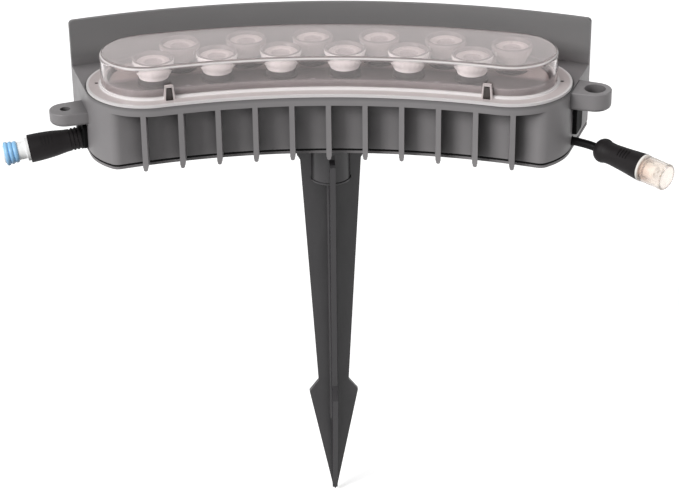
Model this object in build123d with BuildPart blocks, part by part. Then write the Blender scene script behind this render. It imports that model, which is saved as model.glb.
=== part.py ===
from build123d import *
from math import sin, cos, tan, radians, degrees, sqrt, atan2, acos, hypot
import os

# ---------------------------------------------------------------------------
# Light projector stake: an arc-shaped LED wall-washer head on a ground stake.
# Millimetres.  +Z up, X along the lamp, -Y is the front (ribbed side), +Y the
# shielded back.  Origin: on the stake's axis, at the ground line (foot of the
# fins' flared shoulders).
# ---------------------------------------------------------------------------

# --- plan of the lamp head (everything is concentric about one arc centre) ---
mid_radius = 370.0          # radius of the head's centre line
arc_mid_y = 8.0             # centre line's middle point, measured from the stake axis
arc_cy = arc_mid_y - mid_radius
end_angle = 16.5            # half angle at which the round ends are centred
rim_half = 37.0             # half width of the housing's top rim
flange_half = 36.0          # half width of the clear cover's flange
dome_half = 27.5            # half width of the raised clear dome
recess_radius = 344.5       # ribbed front wall, set back under the rim
shield_inner = 411.0        # front face of the upright light shield
shield_outer = 413.5        # back face of the shield and of the housing
shield_half_angle = 21.83   # half angle of the shield

# --- heights above the ground line ---
deck_z = 52.0               # top of housing rim and deck
rim_under_z = 47.2          # underside of the rim band over the ribs
housing_z = 15.0            # bottom edge of the housing wall
rib_foot_z = 13.0           # bottom of the ribs
cover_top_z = 13.6          # bottom cover, top face
cover_z = 12.0              # bottom cover, bottom face
shield_top_z = 80.5
dome_top_z = 73.0

# --- walls ---
wall = 2.5
clear_wall = 1.8
flange_t = 1.5
rib_t = 3.0
rib_pitch = 21.0
rib_count = 11

# --- ears that stack on the neighbouring lamp ---
ear_x = 153.6
ear_r_y = -15.6
ear_r_hole_r = 6.25
ear_r_top = 51.4
ear_r_t = 11.2
ear_r_end = 9.7
ear_l_y = -14.8
ear_l_hole_r = 3.0
ear_l_top = 39.6
ear_l_t = 8.0
ear_l_end = 9.3

# --- stake ---
stake_top_z = 11.8          # just under the bottom cover
shoulder_r = 20.0           # half width over the side fins' flared tops
shoulder_z = 4.3
front_fin_z = 3.6           # top of the front and back fins
fin_turn = 5.7              # the fins stand a little turned under the lamp
fin_t = 3.2
fin_half_top = 17.8
fin_half_neck = 9.4
fin_half_barb = 15.2
neck_z = -151.5
barb_z = -159.2
tip_z = -232.5
socket_r = 11.75
socket_foot_z = -12.0
peg_r = 8.6
peg_foot_z = -10.6
lift = 0.3                  # clearance round the peg

# --- lenses ---
lens_n = 12
lens_step = 2.95            # degrees between neighbours
lens_front = -9.5           # offset of the front row from the centre line
lens_back = 10.5
lens_top_z = 70.5
lens_foot_z = 60.0
lens_top_r = 10.8
lens_foot_r = 8.0

# --- leads ---
cable_r = 2.5

os.makedirs("parts", exist_ok=True)


def on_arc(radius, angle):
    """Plan point at a radius and an angle from the head's middle."""
    return (radius * sin(radians(angle)), arc_cy + radius * cos(radians(angle)))


end_c = on_arc(mid_radius, end_angle)
shield_corner = on_arc(shield_outer, shield_half_angle)

# tangent point of the straight end wall on the round end
dx, dy = shield_corner[0] - end_c[0], shield_corner[1] - end_c[1]
dist = hypot(dx, dy)
turn = atan2(dy, dx) - acos(rim_half / dist)
tangent = (end_c[0] + rim_half * cos(turn), end_c[1] + rim_half * sin(turn))
wall_dir = Vector(shield_corner[0] - tangent[0], shield_corner[1] - tangent[1], 0).normalized()
wall_out = Vector(wall_dir.Y, -wall_dir.X, 0)


def mir(p):
    return (-p[0], p[1])


centre_arc = CenterArc((0, arc_cy), mid_radius, 90 - end_angle, 2 * end_angle)

# ---------------------------------------------------------------------------
# housing: rim, deck, light shield, ribbed front wall, ears, screw posts
# ---------------------------------------------------------------------------
def head_outline(inset, recessed, rounding=0.0):
    """Plan outline of the head, moved inwards by inset; recessed follows the ribbed wall."""
    cap = rim_half - inset
    front = (recess_radius if recessed else mid_radius - rim_half) + inset
    back = shield_outer - inset
    touch = (end_c[0] + cap * cos(turn), end_c[1] + cap * sin(turn))
    # corner where the end wall meets the back arc
    fx, fy = touch[0], touch[1] - arc_cy
    along = fx * wall_dir.X + fy * wall_dir.Y
    reach = -along + sqrt(along ** 2 - (fx ** 2 + fy ** 2 - back ** 2))
    corner = (touch[0] + reach * wall_dir.X, touch[1] + reach * wall_dir.Y)
    # point where the front arc meets the round end
    apart = (mid_radius ** 2 + front ** 2 - cap ** 2) / (2 * mid_radius * front)
    meet = on_arc(front, end_angle + degrees(acos(min(1.0, apart))))
    start = degrees(atan2(meet[1] - end_c[1], meet[0] - end_c[0]))
    middle = radians((start + degrees(turn)) / 2)
    side_pt = (end_c[0] + cap * cos(middle), end_c[1] + cap * sin(middle))
    with BuildSketch() as sk:
        with BuildLine():
            ThreePointArc(mir(meet), on_arc(front, 0), meet)
            ThreePointArc(meet, side_pt, touch)
            Line(touch, corner)
            ThreePointArc(corner, on_arc(back, 0), mir(corner))
            Line(mir(corner), mir(touch))
            ThreePointArc(mir(touch), mir(side_pt), mir(meet))
        make_face()
        if rounding > 0:
            fillet([v for v in sk.vertices() if abs(abs(v.X) - meet[0]) < 0.01 and abs(v.Y - meet[1]) < 0.01],
                   rounding)
    return sk.sketch


outline = head_outline(0, False)
lower = head_outline(0, True, 6.0)
cavity = head_outline(wall, True, 3.5)

post_spots = [
    on_arc(recess_radius + 7.5, -8.2), on_arc(recess_radius + 7.5, 8.2),
    on_arc(shield_inner - 5.5, -12.0), on_arc(shield_inner - 5.5, 12.0),
    (-126.0, -22.0), (126.0, -22.0),
]
end_screw_spots = [(-135.0, -9.3), (135.0, -9.3)]
board_screw_spots = [on_arc(mid_radius + 20.6, a) for a in (-10.3, 1.5, 13.3)] \
    + [on_arc(mid_radius - 20.6, a) for a in (-13.3, -1.5, 10.3)]
lens_spots = [on_arc(mid_radius + (lens_front if k % 2 == 0 else lens_back),
                     (k - (lens_n - 1) / 2) * lens_step) for k in range(lens_n)]

lead_y = {"right": -15.0, "left": -8.0}      # plan position of each lead's exit
lead_z = {"right": 18.3, "left": 19.0}


def wall_point(y, side):
    t = (y - tangent[1]) / (shield_corner[1] - tangent[1])
    x = tangent[0] + t * (shield_corner[0] - tangent[0])
    return (side * x, y)


def wall_plane(y, z, side, out=0.0):
    x, yy = wall_point(y, side)
    n = Vector(side * wall_out.X, wall_out.Y, 0)
    return Plane(origin=(x + n.X * out, yy + n.Y * out, z),
                 x_dir=(side * wall_dir.X, wall_dir.Y, 0), z_dir=(n.X, n.Y, 0))


gland_mid_y = {"right": -8.6, "left": -6.0}
gland_w = {"right": 14.4, "left": 20.0}
gland_t = 2.5
gland_low = {"right": 21.6, "left": 13.8}
gland_high = {"right": 39.9, "left": 28.9}
port_z = {"right": 28.0, "left": 21.0}
grommet_r = 3.1

with BuildSketch() as rib_sk:
    with GridLocations(rib_pitch, 1, rib_count, 1):
        Rectangle(rib_t, 240)
rib_strips = rib_sk.sketch

# slimmer, round-bottomed feet under the ribs
with BuildPart() as rib_feet:
    with BuildSketch(Plane.XZ):
        with Locations([((k - (rib_count - 1) / 2) * rib_pitch, 0) for k in range(rib_count)]):
            with Locations((0, (housing_z + rib_foot_z + 1.25) / 2)):
                Rectangle(2.5, housing_z - rib_foot_z - 1.25)
            with Locations((0, rib_foot_z + 1.25)):
                Circle(1.25)
    extrude(amount=120, both=True)
    with BuildSketch(Plane.XY.offset(rib_foot_z - 1)):
        add(outline)
        with Locations((0, arc_cy)):
            Circle(recess_radius - 0.05, mode=Mode.INTERSECT)
    extrude(amount=housing_z - rib_foot_z + 1, mode=Mode.INTERSECT)


def ear(side, y, end_r, top, thick):
    """Ear square to the end wall: round end, wider root, soft underside."""
    with BuildPart() as one_ear:
        plane = Plane(origin=(side * ear_x, y, top - thick),
                      x_dir=(side * wall_out.X, wall_out.Y, 0), z_dir=(0, 0, 1))
        with BuildSketch(plane):
            Circle(end_r)
            with BuildLine():
                Polyline((0, end_r), (-17.5, end_r + 1.0), (-17.5, -end_r - 1.0), (0, -end_r), (0, end_r))
            make_face()
        extrude(amount=thick)
        fillet(one_ear.faces().sort_by(Axis.Z)[0].outer_wire().edges(), 2.4)
        fillet(one_ear.faces().sort_by(Axis.Z)[-1].outer_wire().edges(), 0.7)
    return one_ear.part


ear_right = ear(1, ear_r_y, ear_r_end, ear_r_top, ear_r_t)
ear_left = ear(-1, ear_l_y, ear_l_end, ear_l_top, ear_l_t)

with BuildPart() as housing:
    # rim and deck
    with BuildSketch(Plane.XY.offset(rim_under_z)):
        add(outline)
    extrude(amount=deck_z - rim_under_z)
    # body below the rim
    with BuildSketch(Plane.XY.offset(housing_z)):
        add(lower)
    extrude(amount=rim_under_z - housing_z)
    # light shield, a thin upright wall along the back edge
    with BuildSketch(Plane.XY.offset(deck_z)):
        with BuildLine():
            a0, a1 = -shield_half_angle, shield_half_angle
            ThreePointArc(on_arc(shield_outer, a0), on_arc(shield_outer, 0), on_arc(shield_outer, a1))
            Line(on_arc(shield_outer, a1), on_arc(shield_inner, a1))
            ThreePointArc(on_arc(shield_inner, a1), on_arc(shield_inner, 0), on_arc(shield_inner, a0))
            Line(on_arc(shield_inner, a0), on_arc(shield_outer, a0))
        make_face()
    extrude(amount=shield_top_z - deck_z)
    # ears
    add(ear_right)
    add(ear_left)
    # hollow inside
    with BuildSketch(Plane.XY.offset(housing_z)):
        add(cavity)
    extrude(amount=deck_z - wall - housing_z, mode=Mode.SUBTRACT)
    # ribs standing in front of the recessed wall, a little longer than it
    with BuildSketch(Plane.XY.offset(housing_z)):
        add(outline)
        with Locations((0, arc_cy)):
            Circle(recess_radius + 0.8, mode=Mode.INTERSECT)
        add(rib_strips, mode=Mode.INTERSECT)
    extrude(amount=rim_under_z - housing_z)
    add(rib_feet.part)
    # window under the light engine
    with BuildSketch(Plane.XY.offset(deck_z - 6)):
        SlotArc(centre_arc, 2 * 19.0)
    extrude(amount=8, mode=Mode.SUBTRACT)
    # groove for the cover's seal
    with BuildSketch(Plane.XY.offset(deck_z - 1.0)):
        SlotArc(centre_arc, 2 * 34.8)
        SlotArc(centre_arc, 2 * 33.0, mode=Mode.SUBTRACT)
    extrude(amount=2, mode=Mode.SUBTRACT)
    # screw posts for the bottom cover, hanging from the deck
    with BuildSketch(Plane.XY.offset(cover_top_z + 0.1)):
        with Locations(post_spots):
            Circle(3.4)
    extrude(amount=deck_z - wall - cover_top_z + 0.9)
    with BuildSketch(Plane.XY.offset(cover_top_z - 1)):
        with Locations(post_spots):
            Circle(1.6)
    extrude(amount=14, mode=Mode.SUBTRACT)
    # posts and pilot holes for the clear cover's end screws
    with BuildSketch(Plane.XY.offset(deck_z - 9)):
        with Locations(end_screw_spots):
            Circle(3.0)
    extrude(amount=8)
    with BuildSketch(Plane.XY.offset(deck_z - 8)):
        with Locations(end_screw_spots):
            Circle(0.95)
    extrude(amount=9, mode=Mode.SUBTRACT)
    # pilot holes for the light engine's screws
    with BuildSketch(Plane.XY.offset(deck_z - 4)):
        with Locations(board_screw_spots):
            Circle(1.05)
    extrude(amount=5, mode=Mode.SUBTRACT)
    # ear holes
    with BuildSketch(Plane.XY.offset(ear_r_top - ear_r_t - 1)):
        with Locations((ear_x, ear_r_y)):
            Circle(ear_r_hole_r)
    extrude(amount=ear_r_t + 2, mode=Mode.SUBTRACT)
    with BuildSketch(Plane.XY.offset(ear_l_top - ear_l_t - 1)):
        with Locations((-ear_x, ear_l_y)):
            Circle(ear_l_hole_r)
    extrude(amount=ear_l_t + 2, mode=Mode.SUBTRACT)
    # lead openings through both end walls
    for side, key in ((1, "right"), (-1, "left")):
        with BuildSketch(wall_plane(gland_mid_y[key], port_z[key], side, -8)):
            Rectangle(10.4, 8.4)
        extrude(amount=12, mode=Mode.SUBTRACT)
    with BuildSketch(wall_plane(lead_y["right"], lead_z["right"], 1, -8)):
        Circle(grommet_r)
    extrude(amount=12, mode=Mode.SUBTRACT)
    # rounded top corners of the light shield
    corners = housing.edges().filter_by(
        lambda e: abs(e.center().Z - shield_top_z) < 0.01 and e.length < wall + 0.5)
    fillet(corners, 2.4)
housing.part.label = "housing"
export_step(housing.part, "parts/housing.step")

# ---------------------------------------------------------------------------
# bottom cover with its keyed peg, and the cover's seal
# ---------------------------------------------------------------------------
standoff_spots = [(-72, -4), (72, -4), (-72, 18), (72, 18)]

with BuildPart() as bottom_gasket:
    with BuildSketch(Plane.XY.offset(cover_top_z)):
        add(head_outline(0.35, True, 5.6))
        add(cavity, mode=Mode.SUBTRACT)
    extrude(amount=housing_z - cover_top_z)
bottom_gasket.part.label = "bottom_gasket"
export_step(bottom_gasket.part, "parts/bottom_gasket.step")

with BuildPart() as bottom_cover:
    with BuildSketch(Plane.XY.offset(cover_z)):
        add(head_outline(0.2, True, 5.8))
    extrude(amount=cover_top_z - cover_z)
    # locating lip inside the housing wall
    with BuildSketch(Plane.XY.offset(cover_top_z)):
        add(head_outline(wall + 0.3, True, 3.2))
        add(head_outline(wall + 1.5, True, 2.0), mode=Mode.SUBTRACT)
    extrude(amount=2.0)
    # standoffs under the driver board
    with BuildSketch(Plane.XY.offset(cover_top_z - 1)):
        with Locations(standoff_spots):
            Circle(3.0)
    extrude(amount=30.0 - cover_top_z + 1)
    with BuildSketch(Plane.XY.offset(22)):
        with Locations(standoff_spots):
            Circle(1.15)
    extrude(amount=9, mode=Mode.SUBTRACT)
    # stiffening ribs along the cover's underside, either side of the stake
    with BuildSketch(Plane.XY.offset(cover_z - 3)):
        with Locations((-42, 7), (42, 7)):
            Rectangle(32, 2)
    extrude(amount=3.4)
    # keyed peg that drops into the stake
    with BuildSketch(Plane.XY.offset(peg_foot_z)):
        Circle(peg_r)
        Rectangle(2 * peg_r + 2, 2 * (peg_r - 1.6), mode=Mode.INTERSECT)
    extrude(amount=cover_z - peg_foot_z + 0.5)
    with BuildSketch(Plane.XY.offset(peg_foot_z - 1)):
        Circle(peg_r - 2.4)
        Rectangle(2 * peg_r, 2 * (peg_r - 4.0), mode=Mode.INTERSECT)
    extrude(amount=cover_z - peg_foot_z - 1, mode=Mode.SUBTRACT)
    # countersunk screw holes
    with Locations(Plane.XY.offset(cover_z).rotated((180, 0, 0))):
        with Locations([(x, -y) for x, y in post_spots]):
            CounterSinkHole(1.8, 3.0, depth=4, counter_sink_angle=90)
bottom_cover.part.label = "bottom_cover"
export_step(bottom_cover.part, "parts/bottom_cover.step")

with BuildPart() as one_cover_screw:
    with BuildSketch(Plane.XZ):
        with BuildLine():
            Polyline((0, cover_z + 0.1), (2.8, cover_z + 0.1), (2.8, cover_z + 0.2),
                     (1.5, cover_z + 1.5), (1.5, cover_z + 12), (0, cover_z + 13), (0, cover_z + 0.1))
        make_face()
    revolve(axis=Axis.Z)
    with BuildSketch(Plane.XY.offset(cover_z)):
        Rectangle(3.2, 0.7)
        Rectangle(0.7, 3.2)
    extrude(amount=1.0, mode=Mode.SUBTRACT)
with BuildPart() as bottom_cover_screws:
    with Locations([(x, y, 0) for x, y in post_spots]):
        add(one_cover_screw.part)
bottom_cover_screws.part.label = "bottom_cover_screws"
export_step(bottom_cover_screws.part, "parts/bottom_cover_screws.step")

# ---------------------------------------------------------------------------
# clear cover: flange, raised dome, latch pockets; its seal, clips and screws
# ---------------------------------------------------------------------------
with BuildPart() as cover_gasket:
    with BuildSketch(Plane.XY.offset(deck_z - 1.0)):
        SlotArc(centre_arc, 2 * 34.7)
        SlotArc(centre_arc, 2 * 33.1, mode=Mode.SUBTRACT)
    extrude(amount=1.0)
cover_gasket.part.label = "cover_gasket"
export_step(cover_gasket.part, "parts/cover_gasket.step")

latch_angle = 15.4
latch_r = mid_radius - dome_half


def latch_plane(side, z):
    """Plane on the dome's front face, x along it, y up, z towards the front."""
    a = radians(side * latch_angle)
    x, y = latch_r * sin(a), arc_cy + latch_r * cos(a)
    return Plane(origin=(x, y, z), x_dir=(cos(a), -sin(a), 0), z_dir=(-sin(a), -cos(a), 0))


with BuildPart() as clear_cover:
    with BuildSketch(Plane.XY.offset(deck_z)):
        SlotArc(centre_arc, 2 * flange_half)
    extrude(amount=flange_t)
    with BuildSketch(Plane.XY.offset(deck_z)):
        SlotArc(centre_arc, 2 * (dome_half + 0.8))
    extrude(amount=flange_t + 0.8)
    with BuildSketch(Plane.XY.offset(deck_z)):
        SlotArc(centre_arc, 2 * dome_half)
    extrude(amount=dome_top_z - deck_z)
    fillet(clear_cover.faces().sort_by(Axis.Z)[-1].edges(), 2.6)
    with BuildSketch(Plane.XY.offset(deck_z)):
        SlotArc(centre_arc, 2 * (dome_half - clear_wall))
    extrude(amount=dome_top_z - 2.0 - deck_z, mode=Mode.SUBTRACT)
    for side in (-1, 1):
        with BuildSketch(latch_plane(side, deck_z + flange_t - 0.3).offset(-0.4)):
            with BuildLine():
                Polyline((-3.3, 0), (3.3, 0), (2.4, 8.8), (-2.4, 8.8), (-3.3, 0))
            make_face()
        extrude(amount=3.0)
        with BuildSketch(latch_plane(side, deck_z - 1).offset(0.5)):
            with BuildLine():
                Polyline((-2.4, 0), (2.4, 0), (1.65, 9.9), (-1.65, 9.9), (-2.4, 0))
            make_face()
        extrude(amount=3.0, mode=Mode.SUBTRACT)
    with BuildSketch(Plane.XY.offset(deck_z - 1)):
        with Locations(end_screw_spots):
            Circle(1.2)
    extrude(amount=3, mode=Mode.SUBTRACT)
clear_cover.part.label = "clear_cover"
export_step(clear_cover.part, "parts/clear_cover.step")

with BuildPart() as cover_clips:
    for side in (-1, 1):
        with BuildSketch(latch_plane(side, deck_z).offset(0.7)):
            with BuildLine():
                Polyline((-1.9, 0), (1.9, 0), (1.35, 8.2), (-1.35, 8.2), (-1.9, 0))
            make_face()
        extrude(amount=1.5)
cover_clips.part.label = "cover_clips"
export_step(cover_clips.part, "parts/cover_clips.step")

with BuildPart() as one_end_screw:
    with BuildSketch(Plane.XZ):
        with BuildLine():
            Polyline((0, deck_z - 6), (0.9, deck_z - 5), (0.9, deck_z + 0.6), (1.05, deck_z + 0.7),
                     (1.05, deck_z + 1.3), (0, deck_z + 1.3), (0, deck_z - 6))
        make_face()
    revolve(axis=Axis.Z)
    with BuildSketch(Plane.XY.offset(deck_z + 0.9)):
        Rectangle(1.3, 0.35)
        Rectangle(0.35, 1.3)
    extrude(amount=1.0, mode=Mode.SUBTRACT)
with BuildPart() as cover_screws:
    with Locations([(x, y, 0) for x, y in end_screw_spots]):
        add(one_end_screw.part)
cover_screws.part.label = "cover_screws"
export_step(cover_screws.part, "parts/cover_screws.step")

# ---------------------------------------------------------------------------
# light engine: bezel, heat plate, board, packages, holders, lenses, screws
# ---------------------------------------------------------------------------
plate_t = 2.5
board_z = deck_z + plate_t
board_t = 1.6
board_top = board_z + board_t
wire_hole_spot = on_arc(mid_radius, 0)

with BuildPart() as inner_bezel:
    with BuildSketch(Plane.XY.offset(deck_z)):
        SlotArc(centre_arc, 2 * 25.4)
        SlotArc(centre_arc, 2 * 22.8, mode=Mode.SUBTRACT)
    extrude(amount=1.2)
    with BuildSketch(Plane.XY.offset(deck_z + 1.2)):
        SlotArc(centre_arc, 2 * 25.4)
        SlotArc(centre_arc, 2 * 23.8, mode=Mode.SUBTRACT)
    extrude(amount=5.3)
inner_bezel.part.label = "inner_bezel"
export_step(inner_bezel.part, "parts/inner_bezel.step")

with BuildPart() as heat_plate:
    with BuildSketch(Plane.XY.offset(deck_z)):
        SlotArc(centre_arc, 2 * 22.6)
        with Locations(board_screw_spots):
            Circle(1.15, mode=Mode.SUBTRACT)
        with Locations(wire_hole_spot):
            Circle(3.0, mode=Mode.SUBTRACT)
    extrude(amount=plate_t)
heat_plate.part.label = "heat_plate"
export_step(heat_plate.part, "parts/heat_plate.step")

with BuildPart() as led_board:
    with BuildSketch(Plane.XY.offset(board_z)):
        SlotArc(centre_arc, 2 * 22.4)
        with Locations(board_screw_spots):
            Circle(1.15, mode=Mode.SUBTRACT)
    extrude(amount=board_t)
led_board.part.label = "led_board"
export_step(led_board.part, "parts/led_board.step")

with BuildPart() as one_package:
    with BuildSketch(Plane.XY.offset(board_top)):
        Rectangle(5.0, 5.0)
    extrude(amount=0.9)
    with BuildSketch(Plane.XY.offset(board_top + 0.9)):
        Circle(1.9)
    extrude(amount=0.9, taper=30)
with BuildPart() as led_packages:
    with Locations([(x, y, 0) for x, y in lens_spots]):
        add(one_package.part)
led_packages.part.label = "led_packages"
export_step(led_packages.part, "parts/led_packages.step")

with BuildPart() as one_holder:
    with BuildSketch(Plane.XZ):
        with BuildLine():
            Polyline((6.4, board_top), (9.6, board_top), (9.6, board_top + 0.9), (8.9, board_top + 1.2),
                     (8.9, lens_foot_z + 0.6), (8.45, lens_foot_z + 0.6), (8.2, lens_foot_z),
                     (6.4, lens_foot_z), (6.4, board_top))
        make_face()
    revolve(axis=Axis.Z)
with BuildPart() as lens_holders:
    with Locations([(x, y, 0) for x, y in lens_spots]):
        add(one_holder.part)
lens_holders.part.label = "lens_holders"
export_step(lens_holders.part, "parts/lens_holders.step")

with BuildPart() as one_lens:
    with BuildSketch(Plane.XZ):
        with BuildLine():
            Polyline((0, lens_foot_z + 3.4), (2.6, lens_foot_z + 3.0), (3.0, lens_foot_z),
                     (lens_foot_r, lens_foot_z))
            Spline((lens_foot_r, lens_foot_z), (9.35, lens_foot_z + 4.2), (10.3, lens_top_z - 1.4))
            Polyline((10.3, lens_top_z - 1.4), (lens_top_r, lens_top_z - 1.4), (lens_top_r, lens_top_z),
                     (5.6, lens_top_z), (5.2, lens_top_z - 1.6), (0, lens_top_z - 1.2), (0, lens_foot_z + 3.4))
        make_face()
    revolve(axis=Axis.Z)
with BuildPart() as tir_lenses:
    with Locations([(x, y, 0) for x, y in lens_spots]):
        add(one_lens.part)
tir_lenses.part.label = "tir_lenses"
export_step(tir_lenses.part, "parts/tir_lenses.step")

with BuildPart() as one_board_screw:
    with BuildSketch(Plane.XZ):
        with BuildLine():
            Polyline((0, deck_z - 3.5), (1.0, deck_z - 3.0), (1.0, board_top), (1.7, board_top),
                     (1.7, board_top + 0.9), (1.2, board_top + 1.2), (0, board_top + 1.2), (0, deck_z - 3.5))
        make_face()
    revolve(axis=Axis.Z)
with BuildPart() as board_screws:
    with Locations([(x, y, 0) for x, y in board_screw_spots]):
        add(one_board_screw.part)
board_screws.part.label = "board_screws"
export_step(board_screws.part, "parts/board_screws.step")

# ---------------------------------------------------------------------------
# driver board and what is soldered to it
# ---------------------------------------------------------------------------
drv_z = 30.0
drv_top = drv_z + 1.6

with BuildPart() as driver_board:
    with BuildSketch(Plane.XY.offset(drv_z)):
        with Locations((0, 7)):
            RectangleRounded(160, 32, 2)
        with Locations(standoff_spots):
            Circle(1.3, mode=Mode.SUBTRACT)
    extrude(amount=1.6)
driver_board.part.label = "driver_board"
export_step(driver_board.part, "parts/driver_board.step")

with BuildPart() as driver_screws:
    for x, y in standoff_spots:
        with Locations((x, y, drv_top)):
            Cylinder(2.6, 1.6, align=(Align.CENTER, Align.CENTER, Align.MIN))
        with Locations((x, y, drv_top - 8)):
            Cylinder(1.1, 8.2, align=(Align.CENTER, Align.CENTER, Align.MIN))
driver_screws.part.label = "driver_screws"
export_step(driver_screws.part, "parts/driver_screws.step")

with BuildPart() as driver_chips:
    with Locations((-28, 2, drv_top), (16, -2, drv_top), (38, 12, drv_top), (56, 2, drv_top)):
        Box(9, 7, 1.8, align=(Align.CENTER, Align.CENTER, Align.MIN))
driver_chips.part.label = "driver_chips"
export_step(driver_chips.part, "parts/driver_chips.step")

with BuildPart() as driver_capacitors:
    with Locations((-56, 0, drv_top), (-56, 13, drv_top), (-43, 7, drv_top)):
        Cylinder(4.9, 13.5, align=(Align.CENTER, Align.CENTER, Align.MIN))
    fillet(driver_capacitors.edges().filter_by(GeomType.CIRCLE).group_by(Axis.Z)[-1], 0.6)
driver_capacitors.part.label = "driver_capacitors"
export_step(driver_capacitors.part, "parts/driver_capacitors.step")

with BuildPart() as driver_inductors:
    with Locations((-12, 14, drv_top), (24, 14, drv_top)):
        Box(12, 11, 8, align=(Align.CENTER, Align.CENTER, Align.MIN))
    fillet(driver_inductors.edges().filter_by(Axis.Z), 2.0)
driver_inductors.part.label = "driver_inductors"
export_step(driver_inductors.part, "parts/driver_inductors.step")

with BuildPart() as wire_terminals:
    with Locations((-72, 7, drv_top), (72, 7, drv_top)):
        Box(9, 12, 8, align=(Align.CENTER, Align.CENTER, Align.MIN))
    with Locations((0, 5, drv_top)):
        Box(9, 8, 7, align=(Align.CENTER, Align.CENTER, Align.MIN))
wire_terminals.part.label = "wire_terminals"
export_step(wire_terminals.part, "parts/wire_terminals.step")


def wire_set(dy, dz):
    """Three insulated wires of one colour: input lead, output lead, light engine."""
    runs = []
    for side, key in ((1, "right"), (-1, "left")):
        if key == "right":
            p = wall_plane(lead_y[key] + dz, lead_z[key] + 0.3, side, -2.9)
        else:
            p = wall_plane(gland_mid_y[key], port_z[key] + dz, side, -2.9)
        a = p.origin
        n = p.z_dir
        b = a - n * 12
        c = Vector(side * 96, 7 + dy, drv_top + 4)
        d = Vector(side * 76.6, 7 + dy, drv_top + 4)
        runs.append([a, b, c, d])
    x0, y0 = wire_hole_spot
    runs.append([Vector(dy / 2.6, 7.0, drv_top + 7.05), Vector(dy / 2.6, 7.6, drv_top + 14),
                 Vector(dy / 2.6, y0, board_z - 6), Vector(dy / 2.6, y0 - 0.1, board_z)])
    return runs


for wire_name, dy, dz in (("wires_red", 2.6, 1.6), ("wires_black", -2.6, -1.6)):
    with BuildPart() as wires:
        for pts in wire_set(dy, dz):
            with BuildLine() as route:
                FilletPolyline(*pts, radius=2.2)
            with BuildSketch(Plane(origin=pts[0], z_dir=(pts[1] - pts[0]))):
                Circle(0.8)
            sweep(path=route.line)
    wires.part.label = wire_name
    export_step(wires.part, "parts/" + wire_name + ".step")

# ---------------------------------------------------------------------------
# rubber glands on the two end walls
# ---------------------------------------------------------------------------
right_exit = wall_plane(lead_y["right"], lead_z["right"], 1, 0.3).origin
right_bend = Vector(right_exit.X + 7.2, right_exit.Y - 2.4, right_exit.Z - 0.7)
socket_dir = Vector(0.742, -0.665, -0.075).normalized()
socket_rear = Vector(155.73, -20.0, 16.05)
cord_end = socket_rear + socket_dir * 18.0
right_start = (right_bend - right_exit).normalized()

plug_dir = Vector(-0.967, -0.215, -0.139).normalized()
plug_root = wall_plane(lead_y["left"], lead_z["left"], -1, 0).origin + plug_dir * 2.6


def gland_plate(side, key):
    lo, hi = gland_low[key], gland_high[key]
    return wall_plane(gland_mid_y[key], (lo + hi) / 2, side, 0.05), hi - lo


with BuildPart() as cable_gland_right:
    # block that seals the potting port
    plane, tall = gland_plate(1, "right")
    with BuildSketch(plane):
        RectangleRounded(gland_w["right"], tall, 3.0)
    extrude(amount=gland_t - 0.05)
    fillet(cable_gland_right.faces().sort_by(lambda f: -(f.center() - plane.origin).dot(plane.z_dir))[0].edges(), 0.8)
    with BuildSketch(wall_plane(gland_mid_y["right"], port_z["right"], 1, 0.3)):
        Rectangle(10.2, 8.2)
    extrude(amount=-3.0)
    # grommet in the wall, where the lead leaves
    with BuildSketch(wall_plane(lead_y["right"], lead_z["right"], 1, 0.03)):
        Circle(grommet_r - 0.05)
    extrude(amount=-2.73)
cable_gland_right.part.label = "cable_gland_right"
export_step(cable_gland_right.part, "parts/cable_gland_right.step")

with BuildPart() as cable_gland_left:
    plane, tall = gland_plate(-1, "left")
    with BuildSketch(plane):
        RectangleRounded(gland_w["left"], tall, 3.0)
    extrude(amount=gland_t - 0.05)
    fillet(cable_gland_left.faces().sort_by(lambda f: -(f.center() - plane.origin).dot(plane.z_dir))[0].edges(), 0.8)
    with BuildSketch(wall_plane(gland_mid_y["left"], port_z["left"], -1, 0.3)):
        Rectangle(10.2, 8.2)
    extrude(amount=-3.0)
    # round root that the plug's moulding grows from
    with BuildSketch(Plane(origin=plug_root, z_dir=plug_dir)):
        Circle(6.75)
    extrude(amount=-1.3)
    with BuildSketch(Plane(origin=plug_root, z_dir=plug_dir)):
        Circle(10)
    extrude(amount=8, mode=Mode.SUBTRACT)
cable_gland_left.part.label = "cable_gland_left"
export_step(cable_gland_left.part, "parts/cable_gland_left.step")

# ---------------------------------------------------------------------------
# right lead and its socket connector
# ---------------------------------------------------------------------------
route_pts = [right_exit, right_bend, socket_rear, cord_end]
radii = []
for i in range(1, len(route_pts) - 1):
    u = route_pts[i] - route_pts[i - 1]
    v = route_pts[i + 1] - route_pts[i]
    bend = u.get_angle(v)
    radii.append(0.45 * min(u.length, v.length) / tan(radians(bend / 2)))
print("lead points", [(round(p.X, 2), round(p.Y, 2), round(p.Z, 2)) for p in route_pts])
print("lead radii", [round(r, 1) for r in radii])
with BuildPart() as cable_right:
    with BuildLine() as lead_route:
        FilletPolyline(*route_pts, radius=radii)
    with BuildSketch(Plane(origin=right_exit, z_dir=right_start)):
        Circle(cable_r)
    sweep(path=lead_route.line)
lead_len = sum(e.length for e in lead_route.line.edges())
print("lead length", lead_len, "volume ratio",
      cable_right.part.volume / (3.14159265 * cable_r ** 2 * lead_len))
cable_right.part.label = "cable_right"
export_step(cable_right.part, "parts/cable_right.step")


def axis_plane(origin, direction):
    """Sketch plane holding a connector's axis: x along it, y sideways and up."""
    side = direction.cross(Vector(0, 0, 1)).normalized()
    return Plane(origin=origin, x_dir=direction, z_dir=side)


def turned(plane, angle):
    """The same sketch plane, turned about the connector's axis."""
    a = radians(angle)
    return Plane(origin=plane.origin, x_dir=plane.x_dir, z_dir=plane.z_dir * cos(a) - plane.y_dir * sin(a))


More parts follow.
